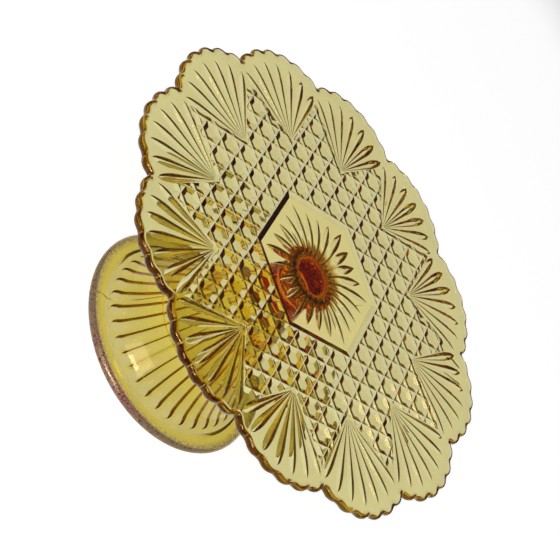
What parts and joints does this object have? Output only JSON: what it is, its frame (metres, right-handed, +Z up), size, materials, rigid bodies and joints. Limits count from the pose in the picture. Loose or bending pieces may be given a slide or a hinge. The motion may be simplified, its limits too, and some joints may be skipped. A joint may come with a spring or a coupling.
{
  "type": "footed cake salver",
  "caption": "Footed round serving plate in amber pressed glass, with a scalloped rim, a patterned underside and a hollow fluted pedestal.",
  "frame": {"origin": "centre of the circle on which the foot rests, in the resting plane", "axes": "+Z up along the stem, +X through a deep notch of the plate's rim, +Y through another deep notch"},
  "size_m": [0.2234, 0.2234, 0.096],
  "materials": {
    "plate_glass": "clear pressed amber glass, smooth top, pattern moulded underneath",
    "wafer_glass": "deep amber glass, fire polished",
    "pedestal_glass": "clear pressed amber glass, fluted, slight mould texture"
  },
  "bodies": {
    "root": {"plate": "plate_glass", "joint_wafer": "wafer_glass", "pedestal": "pedestal_glass"}
  },
  "joints": []
}
